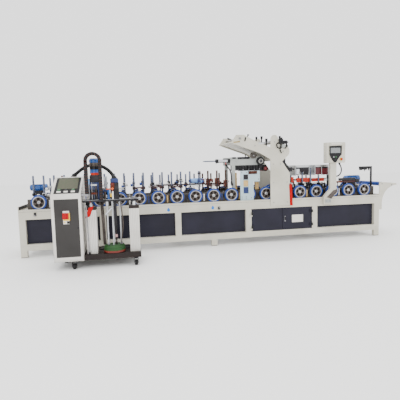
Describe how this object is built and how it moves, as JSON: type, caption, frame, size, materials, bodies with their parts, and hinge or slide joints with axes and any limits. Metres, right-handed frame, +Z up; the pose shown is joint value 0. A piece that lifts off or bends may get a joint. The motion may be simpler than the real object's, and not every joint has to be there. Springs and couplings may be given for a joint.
{
  "type": "hot melt profile laminating line",
  "caption": "Long bench with driven wheels, clamp posts, a hot melt coating station, heater hoods and an operator box, fed by a wheeled drum melter.",
  "frame": {"origin": "underside centre of the front left foot, on the floor", "axes": "+X runs with the work from infeed to outfeed, +Y away from the operator, +Z up"},
  "size_m": [6.0303, 1.735, 1.716],
  "materials": {
    "air_cylinder": "machined steel",
    "bench_frame": "semi-gloss paint",
    "cable_chain": "black plastic links",
    "caster_1": "black wheel in a plated fork",
    "caster_2": "black wheel in a plated fork",
    "caster_3": "black wheel in a plated fork",
    "caster_4": "black wheel in a plated fork",
    "control_box": "semi-gloss paint",
    "control_post": "semi-gloss paint",
    "door_left": "satin dark paint",
    "door_right": "satin dark paint",
    "drive_motor": "gloss blue paint",
    "emergency_stop": "red plastic",
    "feed_motor": "gloss blue paint",
    "follower_platen": "green coating, orange seal",
    "front_panel_left": "satin dark paint",
    "front_panel_right": "satin dark paint",
    "front_post_row": "machined steel",
    "glue_head": "black",
    "head_beam": "semi-gloss paint",
    "head_plate": "pale blue paint",
    "heater_hood_1": "bright sheet",
    "heater_hood_2": "bright sheet",
    "heater_lamps": "orange enamel",
    "melter_base": "white columns on a dark base",
    "melter_cabinet": "white powder coat",
    "nip_roller": "black",
    "outfeed_bracket": "semi-gloss paint",
    "outfeed_roller_1": "gloss blue paint",
    "outfeed_roller_2": "gloss blue paint",
    "piston_rod": "machined steel",
    "pump_unit": "gloss blue paint",
    "ram_crosshead": "black",
    "rear_panel": "satin dark paint",
    "rear_post_row": "machined steel",
    "red_roller": "red rubber",
    "sensor_stand": "black",
    "station_bridge": "semi-gloss paint",
    "station_plate_front": "semi-gloss paint",
    "station_plate_rear": "semi-gloss paint",
    "unwind_shaft": "machined steel",
    "wheelset_01": "aluminium hubs with blue rubber tyres on a steel shaft",
    "wheelset_02": "aluminium hubs with blue rubber tyres on a steel shaft",
    "wheelset_03": "aluminium hubs with blue rubber tyres on a steel shaft",
    "wheelset_04": "aluminium hubs with blue rubber tyres on a steel shaft",
    "wheelset_05": "aluminium hubs with blue rubber tyres on a steel shaft",
    "wheelset_06": "aluminium hubs with blue rubber tyres on a steel shaft",
    "wheelset_07": "aluminium hubs with blue rubber tyres on a steel shaft",
    "wheelset_08": "aluminium hubs with blue rubber tyres on a steel shaft",
    "wheelset_09": "aluminium hubs with blue rubber tyres on a steel shaft",
    "wheelset_10": "aluminium hubs with blue rubber tyres on a steel shaft",
    "wheelset_11": "aluminium hubs with blue rubber tyres on a steel shaft",
    "wheelset_12": "aluminium hubs with blue rubber tyres on a steel shaft",
    "wheelset_13": "aluminium hubs with blue rubber tyres on a steel shaft",
    "wheelset_14": "aluminium hubs with blue rubber tyres on a steel shaft",
    "wheelset_15": "aluminium hubs with blue rubber tyres on a steel shaft",
    "wheelset_16": "aluminium hubs with blue rubber tyres on a steel shaft",
    "wheelset_17": "aluminium hubs with blue rubber tyres on a steel shaft",
    "wheelset_18": "aluminium hubs with blue rubber tyres on a steel shaft",
    "wheelset_19": "aluminium hubs with blue rubber tyres on a steel shaft"
  },
  "bodies": {
    "line_frame": {"air_cylinder": "air_cylinder", "bench_frame": "bench_frame", "cable_chain": "cable_chain", "control_box": "control_box", "control_post": "control_post", "drive_motor": "drive_motor", "feed_motor": "feed_motor", "front_panel_left": "front_panel_left", "front_panel_right": "front_panel_right", "front_post_row": "front_post_row", "glue_head": "glue_head", "head_beam": "head_beam", "head_plate": "head_plate", "heater_hood_1": "heater_hood_1", "heater_hood_2": "heater_hood_2", "heater_lamps": "heater_lamps", "melter_base": "melter_base", "melter_cabinet": "melter_cabinet", "outfeed_bracket": "outfeed_bracket", "rear_panel": "rear_panel", "rear_post_row": "rear_post_row", "sensor_stand": "sensor_stand", "station_bridge": "station_bridge", "station_plate_front": "station_plate_front", "station_plate_rear": "station_plate_rear"},
    "caster_1": {"caster_1": "caster_1"},
    "caster_2": {"caster_2": "caster_2"},
    "caster_3": {"caster_3": "caster_3"},
    "caster_4": {"caster_4": "caster_4"},
    "door_left": {"door_left": "door_left"},
    "door_right": {"door_right": "door_right"},
    "emergency_stop": {"emergency_stop": "emergency_stop"},
    "nip_roller": {"nip_roller": "nip_roller"},
    "outfeed_roller_1": {"outfeed_roller_1": "outfeed_roller_1"},
    "outfeed_roller_2": {"outfeed_roller_2": "outfeed_roller_2"},
    "piston_rod": {"piston_rod": "piston_rod"},
    "red_roller": {"red_roller": "red_roller"},
    "unwind_shaft": {"unwind_shaft": "unwind_shaft"},
    "wheelset_01": {"wheelset_01": "wheelset_01"},
    "wheelset_02": {"wheelset_02": "wheelset_02"},
    "wheelset_03": {"wheelset_03": "wheelset_03"},
    "wheelset_04": {"wheelset_04": "wheelset_04"},
    "wheelset_05": {"wheelset_05": "wheelset_05"},
    "wheelset_06": {"wheelset_06": "wheelset_06"},
    "wheelset_07": {"wheelset_07": "wheelset_07"},
    "wheelset_08": {"wheelset_08": "wheelset_08"},
    "wheelset_09": {"wheelset_09": "wheelset_09"},
    "wheelset_10": {"wheelset_10": "wheelset_10"},
    "wheelset_11": {"wheelset_11": "wheelset_11"},
    "wheelset_12": {"wheelset_12": "wheelset_12"},
    "wheelset_13": {"wheelset_13": "wheelset_13"},
    "wheelset_14": {"wheelset_14": "wheelset_14"},
    "wheelset_15": {"wheelset_15": "wheelset_15"},
    "wheelset_16": {"wheelset_16": "wheelset_16"},
    "wheelset_17": {"wheelset_17": "wheelset_17"},
    "wheelset_18": {"wheelset_18": "wheelset_18"},
    "wheelset_19": {"wheelset_19": "wheelset_19"},
    "ram": {"ram_crosshead": "ram_crosshead", "follower_platen": "follower_platen", "pump_unit": "pump_unit"}
  },
  "joints": [
    {"name": "door_left_hinge", "type": "hinge", "parent": "line_frame", "child": "door_left", "pos_m": [3.413, -0.042, 0.37], "axis": [0, 0, -1], "range_deg": [0, 110]},
    {"name": "door_right_hinge", "type": "hinge", "parent": "line_frame", "child": "door_right", "pos_m": [4.441, -0.042, 0.37], "axis": [0, 0, 1], "range_deg": [0, 110]},
    {"name": "wheelset_01_spin", "type": "hinge", "parent": "line_frame", "child": "wheelset_01", "pos_m": [0.2218, 0.07, 0.785], "axis": [0, 1, 0], "continuous": true},
    {"name": "wheelset_02_spin", "type": "hinge", "parent": "line_frame", "child": "wheelset_02", "pos_m": [0.5112, 0.07, 0.785], "axis": [0, 1, 0], "continuous": true},
    {"name": "wheelset_03_spin", "type": "hinge", "parent": "line_frame", "child": "wheelset_03", "pos_m": [0.8006, 0.07, 0.785], "axis": [0, 1, 0], "continuous": true},
    {"name": "wheelset_04_spin", "type": "hinge", "parent": "line_frame", "child": "wheelset_04", "pos_m": [1.09, 0.07, 0.785], "axis": [0, 1, 0], "continuous": true},
    {"name": "wheelset_05_spin", "type": "hinge", "parent": "line_frame", "child": "wheelset_05", "pos_m": [1.3794, 0.07, 0.785], "axis": [0, 1, 0], "continuous": true},
    {"name": "wheelset_06_spin", "type": "hinge", "parent": "line_frame", "child": "wheelset_06", "pos_m": [1.6688, 0.07, 0.785], "axis": [0, 1, 0], "continuous": true},
    {"name": "wheelset_07_spin", "type": "hinge", "parent": "line_frame", "child": "wheelset_07", "pos_m": [1.9582, 0.07, 0.785], "axis": [0, 1, 0], "continuous": true},
    {"name": "wheelset_08_spin", "type": "hinge", "parent": "line_frame", "child": "wheelset_08", "pos_m": [2.2476, 0.07, 0.785], "axis": [0, 1, 0], "continuous": true},
    {"name": "wheelset_09_spin", "type": "hinge", "parent": "line_frame", "child": "wheelset_09", "pos_m": [2.537, 0.07, 0.785], "axis": [0, 1, 0], "continuous": true},
    {"name": "wheelset_10_spin", "type": "hinge", "parent": "line_frame", "child": "wheelset_10", "pos_m": [2.8264, 0.07, 0.785], "axis": [0, 1, 0], "continuous": true},
    {"name": "wheelset_11_spin", "type": "hinge", "parent": "line_frame", "child": "wheelset_11", "pos_m": [3.1158, 0.07, 0.785], "axis": [0, 1, 0], "continuous": true},
    {"name": "wheelset_12_spin", "type": "hinge", "parent": "line_frame", "child": "wheelset_12", "pos_m": [3.4052, 0.07, 0.785], "axis": [0, 1, 0], "continuous": true},
    {"name": "wheelset_13_spin", "type": "hinge", "parent": "line_frame", "child": "wheelset_13", "pos_m": [3.6946, 0.07, 0.785], "axis": [0, 1, 0], "continuous": true},
    {"name": "wheelset_14_spin", "type": "hinge", "parent": "line_frame", "child": "wheelset_14", "pos_m": [3.984, 0.07, 0.785], "axis": [0, 1, 0], "continuous": true},
    {"name": "wheelset_15_spin", "type": "hinge", "parent": "line_frame", "child": "wheelset_15", "pos_m": [4.2734, 0.07, 0.785], "axis": [0, 1, 0], "continuous": true},
    {"name": "wheelset_16_spin", "type": "hinge", "parent": "line_frame", "child": "wheelset_16", "pos_m": [4.5628, 0.07, 0.785], "axis": [0, 1, 0], "continuous": true},
    {"name": "wheelset_17_spin", "type": "hinge", "parent": "line_frame", "child": "wheelset_17", "pos_m": [4.8522, 0.07, 0.785], "axis": [0, 1, 0], "continuous": true},
    {"name": "wheelset_18_spin", "type": "hinge", "parent": "line_frame", "child": "wheelset_18", "pos_m": [5.1416, 0.07, 0.785], "axis": [0, 1, 0], "continuous": true},
    {"name": "wheelset_19_spin", "type": "hinge", "parent": "line_frame", "child": "wheelset_19", "pos_m": [5.431, 0.07, 0.785], "axis": [0, 1, 0], "continuous": true},
    {"name": "nip_roller_spin", "type": "hinge", "parent": "line_frame", "child": "nip_roller", "pos_m": [3.608, 0.36, 1.306], "axis": [0, 1, 0], "continuous": true},
    {"name": "red_roller_spin", "type": "hinge", "parent": "line_frame", "child": "red_roller", "pos_m": [3.69, 0.36, 1.185], "axis": [0, 1, 0], "continuous": true},
    {"name": "unwind_spin", "type": "hinge", "parent": "line_frame", "child": "unwind_shaft", "pos_m": [3.235, 0.37, 1.66], "axis": [0, 1, 0], "continuous": true},
    {"name": "outfeed_roller_1_spin", "type": "hinge", "parent": "line_frame", "child": "outfeed_roller_1", "pos_m": [5.705, 0.37, 0.872], "axis": [0, 1, 0], "continuous": true},
    {"name": "outfeed_roller_2_spin", "type": "hinge", "parent": "line_frame", "child": "outfeed_roller_2", "pos_m": [5.8853, 0.37, 0.852], "axis": [0, 1, 0], "continuous": true},
    {"name": "caster_1_swivel", "type": "hinge", "parent": "line_frame", "child": "caster_1", "pos_m": [0.81, -0.85, 0.1], "axis": [0, 0, 1], "continuous": true},
    {"name": "caster_2_swivel", "type": "hinge", "parent": "line_frame", "child": "caster_2", "pos_m": [1.58, -0.85, 0.1], "axis": [0, 0, 1], "continuous": true},
    {"name": "caster_3_swivel", "type": "hinge", "parent": "line_frame", "child": "caster_3", "pos_m": [0.81, -0.45, 0.1], "axis": [0, 0, 1], "continuous": true},
    {"name": "caster_4_swivel", "type": "hinge", "parent": "line_frame", "child": "caster_4", "pos_m": [1.58, -0.45, 0.1], "axis": [0, 0, 1], "continuous": true},
    {"name": "piston_rod_slide", "type": "slide", "parent": "line_frame", "child": "piston_rod", "axis": [1, 0, 0], "range_m": [0, 0.15]},
    {"name": "stop_button_slide", "type": "slide", "parent": "line_frame", "child": "emergency_stop", "axis": [0, 1, 0], "range_m": [0, 0.005], "stiffness_N_per_m": 400, "springref_m": -0.002},
    {"name": "ram_lift", "type": "slide", "parent": "line_frame", "child": "ram", "axis": [0, 0, 1], "range_m": [0, 0.45], "deforming": ["cable_chain"]}
  ],
  "couplings": [
    {"joint": "wheelset_02_spin", "follows": "wheelset_01_spin", "ratio": 1},
    {"joint": "wheelset_03_spin", "follows": "wheelset_01_spin", "ratio": 1},
    {"joint": "wheelset_04_spin", "follows": "wheelset_01_spin", "ratio": 1},
    {"joint": "wheelset_05_spin", "follows": "wheelset_01_spin", "ratio": 1},
    {"joint": "wheelset_06_spin", "follows": "wheelset_01_spin", "ratio": 1},
    {"joint": "wheelset_07_spin", "follows": "wheelset_01_spin", "ratio": 1},
    {"joint": "wheelset_08_spin", "follows": "wheelset_01_spin", "ratio": 1},
    {"joint": "wheelset_09_spin", "follows": "wheelset_01_spin", "ratio": 1},
    {"joint": "wheelset_10_spin", "follows": "wheelset_01_spin", "ratio": 1},
    {"joint": "wheelset_11_spin", "follows": "wheelset_01_spin", "ratio": 1},
    {"joint": "wheelset_12_spin", "follows": "wheelset_01_spin", "ratio": 1},
    {"joint": "wheelset_13_spin", "follows": "wheelset_01_spin", "ratio": 1},
    {"joint": "wheelset_14_spin", "follows": "wheelset_01_spin", "ratio": 1},
    {"joint": "wheelset_15_spin", "follows": "wheelset_01_spin", "ratio": 1},
    {"joint": "wheelset_16_spin", "follows": "wheelset_01_spin", "ratio": 1},
    {"joint": "wheelset_17_spin", "follows": "wheelset_01_spin", "ratio": 1},
    {"joint": "wheelset_18_spin", "follows": "wheelset_01_spin", "ratio": 1},
    {"joint": "wheelset_19_spin", "follows": "wheelset_01_spin", "ratio": 1}
  ]
}
